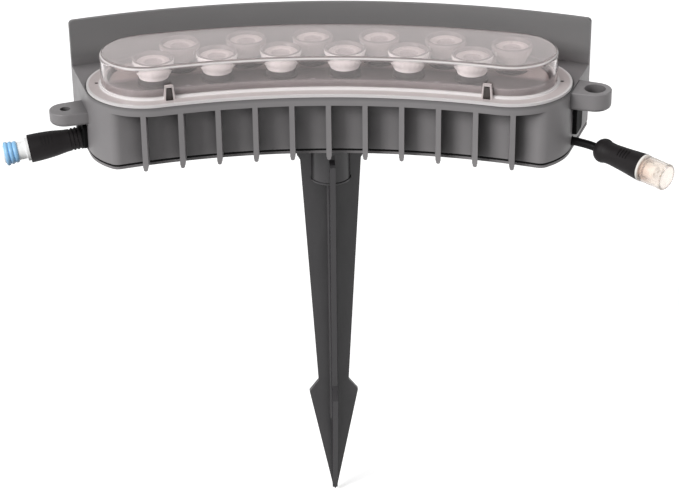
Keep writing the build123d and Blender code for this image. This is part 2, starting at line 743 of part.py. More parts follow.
socket_plane = axis_plane(socket_rear, socket_dir)
socket_axis = Axis(socket_rear, socket_dir)

with BuildPart() as socket_body:
    with BuildSketch(socket_plane):
        with BuildLine():
            Polyline((0, 2.7), (0, 3.4), (0.8, 4.9))
            ThreePointArc((0.8, 4.9), (3.6, 6.95), (7.4, 6.7))
            Spline((7.4, 6.7), (10.2, 6.35), (14.0, 6.45), (22.0, 7.05), (33.0, 8.1))
            Polyline((33.0, 8.1), (33.0, 5.6), (19.0, 5.6), (19.0, 2.7), (0, 2.7))
        make_face()
    revolve(axis=socket_axis)
    # four short grip ribs on the upper front
    for s in (17.6, 19.6, 21.6, 23.6):
        r0 = 6.45 + (s - 14.0) * 0.085
        for arc in (23, -23):
            with BuildSketch(turned(socket_plane, 33)):
                with Locations((s, r0 + 0.1)):
                    Rectangle(0.7, 0.9)
            revolve(axis=socket_axis, revolution_arc=arc)
socket_body.part.label = "socket_body"
export_step(socket_body.part, "parts/socket_body.step")

with BuildPart() as socket_ring:
    with BuildSketch(socket_plane):
        with BuildLine():
            Polyline((33.0, 5.6), (33.0, 8.0), (34.3, 8.0), (34.3, 5.6), (33.0, 5.6))
        make_face()
    revolve(axis=socket_axis)
socket_ring.part.label = "socket_ring"
export_step(socket_ring.part, "parts/socket_ring.step")

with BuildPart() as socket_shell:
    with BuildSketch(socket_plane):
        with BuildLine():
            Polyline((22.0, 4.35), (22.0, 5.5), (34.35, 5.5), (34.35, 7.0), (35.3, 7.2), (35.8, 7.8),
                     (49.2, 7.8), (49.8, 7.2), (49.8, 6.6), (36.4, 6.6), (36.4, 4.35), (22.0, 4.35))
        make_face()
    revolve(axis=socket_axis)
socket_shell.part.label = "socket_shell"
export_step(socket_shell.part, "parts/socket_shell.step")

with BuildPart() as socket_insert:
    with BuildSketch(socket_plane):
        with BuildLine():
            Polyline((20.0, 0), (20.0, 4.3), (36.6, 4.3), (42.2, 4.1), (42.6, 3.7), (42.6, 0), (20.0, 0))
        make_face()
    revolve(axis=socket_axis)
    with BuildSketch(Plane(origin=socket_rear + socket_dir * 19.0, x_dir=(0.665, 0.742, 0), z_dir=socket_dir)):
        with Locations((-1.9, 0), (1.9, 0)):
            Circle(0.95)
    extrude(amount=26, mode=Mode.SUBTRACT)
socket_insert.part.label = "socket_insert"
export_step(socket_insert.part, "parts/socket_insert.step")

with BuildPart() as socket_contacts:
    with BuildSketch(Plane(origin=socket_rear + socket_dir * 20.2, x_dir=(0.665, 0.742, 0), z_dir=socket_dir)):
        with Locations((-1.9, 0), (1.9, 0)):
            Circle(0.9)
            Circle(0.55, mode=Mode.SUBTRACT)
    extrude(amount=21.8)
socket_contacts.part.label = "socket_contacts"
export_step(socket_contacts.part, "parts/socket_contacts.step")

# ---------------------------------------------------------------------------
# left plug connector, moulded straight onto its gland
# ---------------------------------------------------------------------------
plug_plane = axis_plane(plug_root, plug_dir)
plug_axis = Axis(plug_root, plug_dir)
plug_len = 31.0

with BuildPart() as plug_body:
    with BuildSketch(plug_plane):
        with BuildLine():
            Polyline((0, 2.4), (0, 6.75), (0.9, 6.75), (1.2, 6.2), (1.9, 6.2), (2.2, 6.7), (3.1, 6.7),
                     (3.4, 6.15), (4.1, 6.15), (4.4, 6.65), (5.3, 6.65), (5.6, 6.1), (6.3, 6.15), (6.6, 6.5))
            Spline((6.6, 6.5), (10.0, 6.75), (14.2, 7.35), (22.4, 8.1), (plug_len, 8.25))
            Polyline((plug_len, 8.25), (plug_len, 4.6), (19.0, 4.6), (19.0, 2.4), (0, 2.4))
        make_face()
    revolve(axis=plug_axis)
    for s, r0 in ((17.6, 7.68), (19.6, 7.87), (21.6, 8.04), (23.6, 8.15)):
        for arc in (19, -19):
            with BuildSketch(turned(plug_plane, -42)):
                with Locations((s, r0)):
                    Rectangle(0.7, 0.8)
            revolve(axis=plug_axis, revolution_arc=arc)
plug_body.part.label = "plug_body"
export_step(plug_body.part, "parts/plug_body.step")

with BuildPart() as plug_lead:
    with BuildSketch(Plane(origin=plug_root, z_dir=plug_dir)):
        Circle(2.3)
    extrude(amount=18.0)
plug_lead.part.label = "plug_lead"
export_step(plug_lead.part, "parts/plug_lead.step")

with BuildPart() as plug_nose:
    with BuildSketch(plug_plane):
        with BuildLine():
            Polyline((19.2, 0), (19.2, 4.5), (plug_len, 4.5), (plug_len, 6.9), (plug_len + 1.6, 6.9),
                     (plug_len + 1.9, 6.6), (plug_len + 1.9, 5.3), (46.0, 5.3), (46.5, 4.8), (46.5, 3.9),
                     (36.0, 3.9), (36.0, 0), (19.2, 0))
        make_face()
    revolve(axis=plug_axis)
    with BuildSketch(Plane(origin=plug_root + plug_dir * 18.0, x_dir=(0, 1, 0), z_dir=plug_dir)):
        with Locations((-1.9, 0), (1.9, 0)):
            Circle(0.8)
    extrude(amount=20, mode=Mode.SUBTRACT)
plug_nose.part.label = "plug_nose"
export_step(plug_nose.part, "parts/plug_nose.step")

with BuildPart() as plug_seal:
    with BuildSketch(plug_plane):
        with BuildLine():
            Polyline((37.7, 5.35), (37.7, 5.8))
            ThreePointArc((37.7, 5.8), (39.0, 6.45), (40.3, 5.9))
            ThreePointArc((40.3, 5.9), (41.6, 6.8), (42.9, 6.1))
            ThreePointArc((42.9, 6.1), (44.2, 7.1), (45.5, 6.3))
            Polyline((45.5, 6.3), (45.5, 5.35), (37.7, 5.35))
        make_face()
    revolve(axis=plug_axis)
plug_seal.part.label = "plug_seal"
export_step(plug_seal.part, "parts/plug_seal.step")

with BuildPart() as plug_pins:
    with BuildSketch(Plane(origin=plug_root + plug_dir * 19.4, x_dir=(0, 1, 0), z_dir=plug_dir)):
        with Locations((-1.9, 0), (1.9, 0)):
            Circle(0.75)
    extrude(amount=24.6)
plug_pins.part.label = "plug_pins"
export_step(plug_pins.part, "parts/plug_pins.step")

# ---------------------------------------------------------------------------
# ground stake: keyed socket, crossed tapering fins with flared tops, barbed point
# ---------------------------------------------------------------------------
ft = radians(fin_turn)
side_fin_plane = Plane(origin=(0, 0, 0), x_dir=(cos(ft), sin(ft), 0), z_dir=(sin(ft), -cos(ft), 0))
front_fin_plane = Plane(origin=(0, 0, 0), x_dir=(-sin(ft), cos(ft), 0), z_dir=(cos(ft), sin(ft), 0))


def fin_outline(top):
    """Half outline of a pair of fins, from the top down to the point."""
    return top + [(fin_half_neck, neck_z), (fin_half_barb, barb_z), (1.3, tip_z + 2.2), (0, tip_z)]


with BuildPart() as stake:
    for fin_plane, top in (
            (side_fin_plane, [(shoulder_r, stake_top_z), (shoulder_r, shoulder_z), (18.1, 1.2)]),
            (front_fin_plane, [(11.0, stake_top_z - 2.0), (12.4, front_fin_z + 1.4), (fin_half_top - 1.2, front_fin_z),
                               (fin_half_top, front_fin_z - 1.4)])):
        half = fin_outline(top)
        with BuildSketch(fin_plane):
            with BuildLine():
                Polyline(*half, *[(-x, z) for x, z in reversed(half[:-1])], half[0])
            make_face()
        extrude(amount=fin_t / 2, both=True)
    # slim round core where the fins cross
    with BuildSketch(Plane.XY.offset(1.0)):
        Circle(3.2)
    extrude(amount=-180)
    # socket body and the raised ring at its foot
    with BuildSketch(Plane.XZ):
        with BuildLine():
            Polyline((0, stake_top_z), (socket_r + 0.9, stake_top_z), (socket_r, stake_top_z - 1.4),
                     (socket_r, socket_foot_z + 1.6), (socket_r + 0.5, socket_foot_z + 1.2),
                     (socket_r + 0.5, socket_foot_z + 0.3), (socket_r, socket_foot_z), (0, socket_foot_z),
                     (0, stake_top_z))
        make_face()
    revolve(axis=Axis.Z)
    # keyed socket bore
    with BuildSketch(Plane.XY.offset(stake_top_z + 1)):
        Circle(peg_r + lift)
        Rectangle(2 * peg_r + 4, 2 * (peg_r - 1.6 + lift), mode=Mode.INTERSECT)
    extrude(amount=-(stake_top_z + 1 + 11.0), mode=Mode.SUBTRACT)
stake.part.label = "stake"
export_step(stake.part, "parts/stake.step")
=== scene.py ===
import bpy, bmesh, math
from mathutils import Vector, Matrix


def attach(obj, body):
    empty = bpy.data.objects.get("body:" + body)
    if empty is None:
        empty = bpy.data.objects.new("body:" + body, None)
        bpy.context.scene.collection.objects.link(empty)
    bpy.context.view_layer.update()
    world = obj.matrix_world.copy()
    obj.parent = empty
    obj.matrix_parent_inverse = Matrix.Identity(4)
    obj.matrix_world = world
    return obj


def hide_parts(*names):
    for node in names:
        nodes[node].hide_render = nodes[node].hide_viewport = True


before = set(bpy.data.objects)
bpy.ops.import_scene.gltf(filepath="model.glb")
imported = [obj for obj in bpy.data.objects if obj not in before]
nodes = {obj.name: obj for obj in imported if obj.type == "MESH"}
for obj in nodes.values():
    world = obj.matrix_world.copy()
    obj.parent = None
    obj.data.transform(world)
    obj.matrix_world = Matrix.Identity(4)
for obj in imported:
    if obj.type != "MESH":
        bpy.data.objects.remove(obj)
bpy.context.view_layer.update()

scene = bpy.context.scene
MM = 0.001


# ---------------------------------------------------------------------------
# camera, at the height and angle the object is seen from
# ---------------------------------------------------------------------------
def make_camera():
    pitch, yaw, roll = 0.47543, -0.021974, -0.012621
    fw = Vector((math.sin(yaw) * math.cos(pitch), math.cos(yaw) * math.cos(pitch), -math.sin(pitch)))
    right = Vector((math.cos(yaw), -math.sin(yaw), 0.0))
    up = right.cross(fw)
    r2 = right * math.cos(roll) + up * math.sin(roll)
    u2 = up * math.cos(roll) - right * math.sin(roll)
    data = bpy.data.cameras.new("camera")
    data.sensor_fit = "HORIZONTAL"
    data.sensor_width = 36.0
    data.lens = 36.0 * 2200.0 / 679.0
    data.clip_start = 0.05
    data.clip_end = 30.0
    cam = bpy.data.objects.new("camera", data)
    rot = Matrix((r2, u2, -fw)).transposed().to_4x4()
    cam.matrix_world = Matrix.Translation((0.03084, -1.18599, 0.55349)) @ rot
    scene.collection.objects.link(cam)
    scene.camera = cam


make_camera()

# ---------------------------------------------------------------------------
# the free lead on the right
# ---------------------------------------------------------------------------
lead_points = [(141.782, -15.0947, 18.3), (148.982, -17.4947, 17.6), (155.73, -20.0, 16.05), (169.0966, -31.9795, 14.6989)]


def make_lead():
    cu = bpy.data.curves.new("lead_right", "CURVE")
    cu.dimensions = "3D"
    sp = cu.splines.new("NURBS")
    sp.points.add(len(lead_points) - 1)
    for p, q in zip(sp.points, lead_points):
        p.co = (q[0] * MM, q[1] * MM, q[2] * MM, 1.0)
    sp.order_u = 3
    sp.use_endpoint_u = True
    sp.resolution_u = 24
    cu.bevel_depth = 2.5 * MM
    cu.bevel_resolution = 8
    cu.use_fill_caps = True
    ob = bpy.data.objects.new("lead_right", cu)
    scene.collection.objects.link(ob)
    return ob


lead = make_lead()


# ---------------------------------------------------------------------------
# materials
# ---------------------------------------------------------------------------
def lin(r, g, b):
    def f(c):
        c /= 255.0
        return c / 12.92 if c <= 0.04045 else ((c + 0.055) / 1.055) ** 2.4
    return (f(r), f(g), f(b), 1.0)


def scaled(c, k):
    return (min(1.0, c[0] * k), min(1.0, c[1] * k), min(1.0, c[2] * k), 1.0)


def new_mat(name):
    m = bpy.data.materials.new(name)
    m.use_nodes = True
    nt = m.node_tree
    nt.nodes.clear()
    out = nt.nodes.new("ShaderNodeOutputMaterial")
    return m, nt, out


def noise(nt, coord, scale, detail=3.0, rough=0.55, stretch=None):
    n = nt.nodes.new("ShaderNodeTexNoise")
    n.inputs["Scale"].default_value = scale
    n.inputs["Detail"].default_value = detail
    n.inputs["Roughness"].default_value = rough
    src = coord
    if stretch:
        mp = nt.nodes.new("ShaderNodeMapping")
        mp.inputs["Scale"].default_value = stretch
        nt.links.new(coord, mp.inputs["Vector"])
        src = mp.outputs["Vector"]
    nt.links.new(src, n.inputs["Vector"])
    return n.outputs["Fac"]


def ramp(nt, fac, lo, hi, a=0.3, b=0.7):
    r = nt.nodes.new("ShaderNodeMapRange")
    r.inputs["From Min"].default_value = a
    r.inputs["From Max"].default_value = b
    r.inputs["To Min"].default_value = lo
    r.inputs["To Max"].default_value = hi
    nt.links.new(fac, r.inputs["Value"])
    return r.outputs["Result"]


def mix_col(nt, fac, a, b):
    m = nt.nodes.new("ShaderNodeMix")
    m.data_type = "RGBA"
    m.inputs["A"].default_value = a
    m.inputs["B"].default_value = b
    nt.links.new(fac, m.inputs["Factor"])
    return m.outputs["Result"]


def moulded(name, base, rough=0.5, var=0.08, blotch=18.0, grain=2200.0, bump=0.12, spec=0.5,
            metallic=0.0, stretch=None, coat=0.0, sheen=0.0, rough_var=0.06):
    """Moulded plastic, rubber or metal: soft blotches of colour, roughness variation, fine grain."""
    m, nt, out = new_mat(name)
    tc = nt.nodes.new("ShaderNodeTexCoord")
    co = tc.outputs["Object"]
    bs = nt.nodes.new("ShaderNodeBsdfPrincipled")
    blotches = noise(nt, co, blotch, 4.0, 0.6, stretch)
    col = mix_col(nt, ramp(nt, blotches, 0.0, 1.0), scaled(base, 1.0 - var), scaled(base, 1.0 + var))
    nt.links.new(col, bs.inputs["Base Color"])
    nt.links.new(ramp(nt, noise(nt, co, blotch * 6.0, 3.0, 0.6, stretch), rough - rough_var, rough + rough_var),
                 bs.inputs["Roughness"])
    bs.inputs["Specular IOR Level"].default_value = spec
    bs.inputs["Metallic"].default_value = metallic
    if coat:
        bs.inputs["Coat Weight"].default_value = coat
        bs.inputs["Coat Roughness"].default_value = 0.2
    if bump:
        bp = nt.nodes.new("ShaderNodeBump")
        bp.inputs["Strength"].default_value = bump
        bp.inputs["Distance"].default_value = 0.00012
        nt.links.new(noise(nt, co, grain, 2.0, 0.5, stretch), bp.inputs["Height"])
        nt.links.new(bp.outputs["Normal"], bs.inputs["Normal"])
    nt.links.new(bs.outputs["BSDF"], out.inputs["Surface"])
    return m


def math_node(nt, op, a, b, clamp=False):
    m = nt.nodes.new("ShaderNodeMath")
    m.operation = op
    m.use_clamp = clamp
    for k, v in enumerate((a, b)):
        if isinstance(v, (int, float)):
            m.inputs[k].default_value = v
        else:
            nt.links.new(v, m.inputs[k])
    return m.outputs["Value"]


def position(nt, co):
    """Height, and plan distance from the head's curved centre line, both in metres."""
    sep = nt.nodes.new("ShaderNodeSeparateXYZ")
    nt.links.new(co, sep.inputs["Vector"])
    yy = math_node(nt, "ADD", sep.outputs["Y"], 0.362)
    turn = math_node(nt, "ARCTAN2", sep.outputs["X"], yy)
    turn = math_node(nt, "MINIMUM", math_node(nt, "MAXIMUM", turn, -math.radians(16.5)), math.radians(16.5))
    cx = math_node(nt, "MULTIPLY", math_node(nt, "SINE", turn, 0.0), 0.370)
    cy = math_node(nt, "MULTIPLY", math_node(nt, "COSINE", turn, 0.0), 0.370)
    dx = math_node(nt, "SUBTRACT", sep.outputs["X"], cx)
    dy = math_node(nt, "SUBTRACT", yy, cy)
    d2 = math_node(nt, "ADD", math_node(nt, "MULTIPLY", dx, dx), math_node(nt, "MULTIPLY", dy, dy))
    return sep.outputs["Z"], math_node(nt, "SQRT", d2, 0.0)


def clear(name, tint, rough=0.03, haze=0.0, haze_col=None, ior=1.49, bump=0.04, grain=300.0, where=None):
    """Clear moulded plastic with faint flow marks and a milky haze, which may differ from place to place."""
    m, nt, out = new_mat(name)
    tc = nt.nodes.new("ShaderNodeTexCoord")
    co = tc.outputs["Object"]
    bs = nt.nodes.new("ShaderNodeBsdfPrincipled")
    bs.inputs["Transmission Weight"].default_value = 1.0
    bs.inputs["IOR"].default_value = ior
    flow = noise(nt, co, 30.0, 3.0, 0.5)
    nt.links.new(mix_col(nt, ramp(nt, flow, 0.0, 1.0), scaled(tint, 0.96), tint), bs.inputs["Base Color"])
    nt.links.new(ramp(nt, noise(nt, co, 90.0, 3.0, 0.5), max(0.0, rough - 0.015), rough + 0.02), bs.inputs["Roughness"])
    bp = nt.nodes.new("ShaderNodeBump")
    bp.inputs["Strength"].default_value = bump
    bp.inputs["Distance"].default_value = 0.0002
    nt.links.new(noise(nt, co, grain, 2.0, 0.5), bp.inputs["Height"])
    nt.links.new(bp.outputs["Normal"], bs.inputs["Normal"])
    # light reaches what is behind the clear wall
    lp = nt.nodes.new("ShaderNodeLightPath")
    through = nt.nodes.new("ShaderNodeBsdfTransparent")
    through.inputs["Color"].default_value = (0.86, 0.85, 0.85, 1.0)
    open_mix = nt.nodes.new("ShaderNodeMixShader")
    nt.links.new(lp.outputs["Is Shadow Ray"], open_mix.inputs["Fac"])
    nt.links.new(bs.outputs["BSDF"], open_mix.inputs[1])
    nt.links.new(through.outputs["BSDF"], open_mix.inputs[2])
    surf = open_mix.outputs["Shader"]
    milk = nt.nodes.new("ShaderNodeBsdfPrincipled")
    hc = haze_col or tint
    nt.links.new(mix_col(nt, ramp(nt, flow, 0.0, 1.0), scaled(hc, 0.97), hc), milk.inputs["Base Color"])
    milk.inputs["Roughness"].default_value = 0.3
    mx = nt.nodes.new("ShaderNodeMixShader")
    amount = ramp(nt, flow, haze * 0.85, haze * 1.15)
    if where is not None:
        amount = where(nt, co, amount)
    nt.links.new(amount, mx.inputs["Fac"])
    nt.links.new(surf, mx.inputs[1])
    nt.links.new(milk.outputs["BSDF"], mx.inputs[2])
    nt.links.new(mx.outputs["Shader"], out.inputs["Surface"])
    return m


def cover_haze(nt, co, amount):
    """The flange, its step and the latch pockets are frosted; the milky band along the dome's top edge is a painted
    highlight, standing in for the bright line where the edge is seen through its thickness.
    """
    z, d = position(nt, co)
    flange = ramp(nt, z, 0.93, 0.0, 0.0544, 0.0549)
    frames = math_node(nt, "MULTIPLY", ramp(nt, d, 0.0, 0.93, 0.02785, 0.02805), ramp(nt, z, 0.0, 1.0, 0.0535, 0.0538))
    # painted highlight: a milky band along the dome's top edge
    edge = math_node(nt, "MULTIPLY", ramp(nt, z, 0.0, 0.85, 0.0712, 0.0722), ramp(nt, d, 0.0, 1.0, 0.0262, 0.0268))
    top = ramp(nt, z, 0.0, 0.15, 0.0700, 0.0712)
    total = math_node(nt, "MAXIMUM", flange, frames)
    total = math_node(nt, "MAXIMUM", total, math_node(nt, "ADD", math_node(nt, "ADD", amount, top), edge))
    return math_node(nt, "MINIMUM", total, 0.95)


def flange_painted_highlights(m):
    """Painted highlights: the flange's welded inner step, its outer edge and the dome's top edge are painted whiter
    than the flat between them, standing in for the bright lines of light along these edges.
    """
    nt = m.node_tree
    milk = [n for n in nt.nodes if n.type == "BSDF_PRINCIPLED" and n.inputs["Transmission Weight"].default_value == 0.0][0]
    co = next(n for n in nt.nodes if n.type == "TEX_COORD").outputs["Object"]
    src = milk.inputs["Base Color"].links[0].from_socket
    z, d = position(nt, co)
    # painted highlight along the flange's inner step and outer edge
    inner = ramp(nt, d, 1.0, 0.0, 0.0286, 0.0292)
    outer = ramp(nt, d, 0.0, 1.0, 0.0343, 0.0350)
    highlight_mask = math_node(nt, "MULTIPLY", math_node(nt, "MAXIMUM", inner, outer), ramp(nt, z, 1.0, 0.0, 0.0550, 0.0560))
    # painted highlight along the dome's top edge
    rim = math_node(nt, "MULTIPLY", ramp(nt, z, 0.0, 1.0, 0.0712, 0.0722), ramp(nt, d, 0.0, 1.0, 0.0262, 0.0268))
    highlight_mask = math_node(nt, "MAXIMUM", highlight_mask, rim)
    white = nt.nodes.new("ShaderNodeMix")
    white.data_type = "RGBA"
    nt.links.new(highlight_mask, white.inputs["Factor"])
    nt.links.new(src, white.inputs["A"])
    white.inputs["B"].default_value = lin(232, 228, 228)
    nt.links.new(white.outputs["Result"], milk.inputs["Base Color"])
    return m


def board_paler_back(m):
    """The board's colour is paler over its back half than over its front half."""
    nt = m.node_tree
    bs = next(n for n in nt.nodes if n.type == "BSDF_PRINCIPLED")
    co = next(n for n in nt.nodes if n.type == "TEX_COORD").outputs["Object"]
    src = bs.inputs["Base Color"].links[0].from_socket
    sep = nt.nodes.new("ShaderNodeSeparateXYZ")
    nt.links.new(co, sep.inputs["Vector"])
    yy = math_node(nt, "ADD", sep.outputs["Y"], 0.362)
    r2 = math_node(nt, "ADD", math_node(nt, "MULTIPLY", sep.outputs["X"], sep.outputs["X"]), math_node(nt, "MULTIPLY", yy, yy))
    back = ramp(nt, math_node(nt, "SQRT", r2, 0.0), 0.0, 1.0, 0.3675, 0.3735)
    mul = nt.nodes.new("ShaderNodeMix")
    mul.data_type = "RGBA"
    nt.links.new(back, mul.inputs["Factor"])
    nt.links.new(src, mul.inputs["A"])
    mul.inputs["B"].default_value = lin(158, 146, 144)
    nt.links.new(mul.outputs["Result"], bs.inputs["Base Color"])
    return m


def painted_rim_shade(m):
    """Painted shade: a fine dark line where the clear flange meets the grey rim stands in for the shadow in the gap,
    and the housing above the deck is painted a darker grey, standing in for the shade on the upright shield.
    """
    nt = m.node_tree
    bs = next(n for n in nt.nodes if n.type == "BSDF_PRINCIPLED")
    co = next(n for n in nt.nodes if n.type == "TEX_COORD").outputs["Object"]
    src = bs.inputs["Base Color"].links[0].from_socket
    z, d = position(nt, co)
    # painted shadow: a dark line along the gap between the clear flange and the grey rim
    gap_shadow_mask = math_node(nt, "MULTIPLY", ramp(nt, d, 1.0, 0.0, 0.0366, 0.0374), ramp(nt, z, 0.0, 1.0, 0.0500, 0.0515))
    # painted shade: the housing above the deck, the upright shield, is painted darker grey for the shade it lies in
    upright_shade = nt.nodes.new("ShaderNodeMix")
    upright_shade.data_type = "RGBA"
    nt.links.new(ramp(nt, z, 0.0, 1.0, 0.0525, 0.0580), upright_shade.inputs["Factor"])
    nt.links.new(src, upright_shade.inputs["A"])
    upright_shade.inputs["B"].default_value = lin(117, 116, 116)
    src = upright_shade.outputs["Result"]
    mul = nt.nodes.new("ShaderNodeMix")
    mul.data_type = "RGBA"
    nt.links.new(gap_shadow_mask, mul.inputs["Factor"])
    nt.links.new(src, mul.inputs["A"])
    mul.inputs["B"].default_value = lin(84, 82, 83)
    nt.links.new(mul.outputs["Result"], bs.inputs["Base Color"])
    return m


def shaded(m, amount=0.55, distance=0.014):
    """The colour deepens where surfaces meet, which carries the contact shading between ribs and in recesses."""
    nt = m.node_tree
    bs = next(n for n in nt.nodes if n.type == "BSDF_PRINCIPLED")
    src = bs.inputs["Base Color"].links[0].from_socket
    ao = nt.nodes.new("ShaderNodeAmbientOcclusion")
    ao.samples = 8
    ao.inputs["Distance"].default_value = distance
    mul = nt.nodes.new("ShaderNodeMix")
    mul.data_type = "RGBA"
    mul.blend_type = "MULTIPLY"
    mul.inputs["Factor"].default_value = 1.0
    g = nt.nodes.new("ShaderNodeCombineColor")
    k = ramp(nt, ao.outputs["AO"], 1.0 - amount, 1.0, 0.35, 0.95)
    for c in ("Red", "Green", "Blue"):
        nt.links.new(k, g.inputs[c])
    nt.links.new(src, mul.inputs["A"])
    nt.links.new(g.outputs["Color"], mul.inputs["B"])
    nt.links.new(mul.outputs["Result"], bs.inputs["Base Color"])
    return m


M = {}
M["housing"] = shaded(painted_rim_shade(moulded("housing_grey", lin(136, 133, 134), rough=0.46, var=0.05, bump=0.18)), 0.62, 0.013)
M["cover"] = moulded("cover_grey", lin(126, 123, 124), rough=0.5, var=0.05, bump=0.18)
M["stake"] = shaded(moulded("stake_black", lin(57, 55, 57), rough=0.36, var=0.12, blotch=14.0, bump=0.15, stretch=(3, 3, 0.6)), 0.75, 0.026)
M["rubber"] = moulded("black_rubber", lin(7, 7, 7), rough=0.7, var=0.15, grain=3000.0, bump=0.2, spec=0.12)
M["overmould"] = moulded("overmould_black", lin(31, 28, 29), rough=0.6, var=0.14, grain=2600.0, bump=0.3, spec=0.22)
M["jacket"] = moulded("cable_jacket", lin(7, 6, 7), rough=0.55, var=0.12, grain=1500.0, bump=0.1, spec=0.18)
M["dome"] = flange_painted_highlights(clear("clear_cover_pc", lin(254, 248, 248), rough=0.03, haze=0.05,
                               haze_col=lin(208, 198, 197), ior=1.5, where=cover_haze))
M["lens"] = clear("lens_clear", lin(252, 250, 250), rough=0.05, haze=0.38, haze_col=lin(250, 240, 240), ior=1.49)
M["lens_side"] = clear("lens_side", lin(252, 248, 248), rough=0.12, haze=0.97, haze_col=lin(255, 252, 251), ior=1.49, grain=900.0)
M["lens_ring"] = clear("lens_ring", lin(252, 248, 248), rough=0.08, haze=0.8, haze_col=lin(238, 226, 225), ior=1.49, grain=900.0)
M["lens_well"] = clear("lens_well", lin(250, 246, 246), rough=0.08, haze=0.55, haze_col=lin(214, 202, 201), ior=1.49, grain=900.0)
M["lens_side_back"] = clear("lens_side_back", lin(250, 244, 243), rough=0.1, haze=0.5, haze_col=lin(214, 202, 200), ior=1.49, grain=900.0)
# painted highlight: a white material for the lens faces where glints of light fall
M["lens_painted_glint"] = moulded("lens_painted_glint", lin(255, 252, 252), rough=0.12, var=0.02, blotch=90.0, bump=0.05, coat=0.6)
M["lens_rim"] = moulded("lens_rim", lin(118, 110, 110), rough=0.2, var=0.08, blotch=90.0, bump=0.08)
M["shell"] = clear("connector_clear", lin(254, 248, 242), rough=0.08, haze=0.22, haze_col=lin(255, 248, 242), ior=1.44)
shell_nt = M["shell"].node_tree
for shell_bs in [n for n in shell_nt.nodes if n.type == "BSDF_PRINCIPLED"]:
    shell_src = shell_bs.inputs["Base Color"].links[0].from_socket
    shell_sep = shell_nt.nodes.new("ShaderNodeSeparateXYZ")
    shell_nt.links.new(next(n for n in shell_nt.nodes if n.type == "TEX_COORD").outputs["Object"], shell_sep.inputs["Vector"])
    shell_mix = shell_nt.nodes.new("ShaderNodeMix")
    shell_mix.data_type = "RGBA"
    shell_nt.links.new(ramp(shell_nt, shell_sep.outputs["X"], 1.0, 0.0, 0.1745, 0.1850), shell_mix.inputs["Factor"])
    shell_nt.links.new(shell_src, shell_mix.inputs["A"])
    shell_mix.inputs["B"].default_value = lin(214, 190, 176)
    shell_nt.links.new(shell_mix.outputs["Result"], shell_bs.inputs["Base Color"])
M["white"] = moulded("connector_white", lin(244, 240, 234), rough=0.35, var=0.02, bump=0.05)
M["nose"] = moulded("nose_white", lin(254, 254, 253), rough=0.3, var=0.008, bump=0.05)
M["seal"] = moulded("seal_blue", lin(156, 210, 255), rough=0.34, var=0.08, blotch=60.0, bump=0.08)
M["brass"] = moulded("contact_brass", lin(214, 180, 110), rough=0.25, var=0.06, metallic=1.0, bump=0.05)
M["bezel"] = moulded("bezel_grey", lin(114, 109, 109), rough=0.5, var=0.05, bump=0.1)
M["holder"] = moulded("holder_dark", lin(60, 58, 58), rough=0.5, var=0.08, bump=0.1)
M["dot"] = moulded("screw_dark", lin(26, 24, 24), rough=0.4, var=0.1, bump=0.1)
M["clip"] = moulded("clip_dark", lin(58, 52, 50), rough=0.45, var=0.1, bump=0.1)
M["plate"] = moulded("plate_aluminium", lin(200, 200, 202), rough=0.32, var=0.05, metallic=1.0, bump=0.1, stretch=(1, 12, 1))
M["led_board"] = board_paler_back(moulded("led_board_dark", lin(84, 80, 80), rough=0.4, var=0.12, blotch=60.0, bump=0.1))
M["led"] = moulded("led_white", lin(240, 225, 150), rough=0.3, var=0.06, blotch=300.0, bump=0.05)
M["steel"] = moulded("screw_steel", lin(170, 170, 172), rough=0.3, var=0.08, metallic=1.0, blotch=200.0, bump=0.1)
M["pcb"] = moulded("board_green", lin(28, 92, 48), rough=0.35, var=0.15, blotch=120.0, bump=0.1)
M["chip"] = moulded("chip_black", lin(30, 30, 31), rough=0.5, var=0.1, blotch=200.0, bump=0.15)
M["cap"] = moulded("capacitor_sleeve", lin(28, 30, 48), rough=0.25, var=0.1, blotch=100.0, bump=0.05)
M["ferrite"] = moulded("inductor_core", lin(62, 62, 66), rough=0.65, var=0.12, blotch=200.0, bump=0.3)
M["terminal"] = moulded("terminal_white", lin(228, 228, 222), rough=0.4, var=0.03, bump=0.05)
M["wire_red"] = moulded("wire_red", lin(170, 24, 22), rough=0.35, var=0.08, bump=0.05)
M["wire_black"] = moulded("wire_black", lin(22, 22, 23), rough=0.35, var=0.1, bump=0.05)

node_mat = {
    "housing": "housing", "bottom_cover": "cover", "stake": "stake",
    "bottom_gasket": "rubber", "cover_gasket": "rubber",
    "cable_gland_left": "rubber", "cable_gland_right": "rubber",
    "plug_body": "overmould", "socket_body": "overmould",
    "cable_right": "jacket", "plug_lead": "jacket",
    "clear_cover": "dome", "tir_lenses": "lens", "socket_shell": "shell",
    "socket_insert": "white", "plug_nose": "nose", "socket_ring": "white",
    "plug_seal": "seal", "plug_pins": "brass", "socket_contacts": "brass",
    "inner_bezel": "bezel", "lens_holders": "holder", "cover_clips": "clip",
    "heat_plate": "plate", "led_board": "led_board", "led_packages": "led",
    "bottom_cover_screws": "steel", "board_screws": "steel", "driver_screws": "steel", "cover_screws": "dot",
    "driver_board": "pcb", "driver_chips": "chip", "driver_capacitors": "cap",
    "driver_inductors": "ferrite", "wire_terminals": "terminal",
    "wires_red": "wire_red", "wires_black": "wire_black",
}
for n, ob in nodes.items():
    ob.data.materials.clear()
    ob.data.materials.append(M[node_mat[n]])


# ---------------------------------------------------------------------------
# twelve lenses: flared side with fine flutes, raised rim, bright ring, well
# ---------------------------------------------------------------------------
def slot_painted_glint(z, slot, deg):
    """Painted glints: white faces at the two ends of each lens, every other half flute, standing in for the sparkles of
    light on the lens sides.
    """
    end = deg < 6 or deg > 318 or 174 < deg < 222
    return slot == 0 and 66.0 < z < 69.0 and end and (deg % 15.0) < 6.0


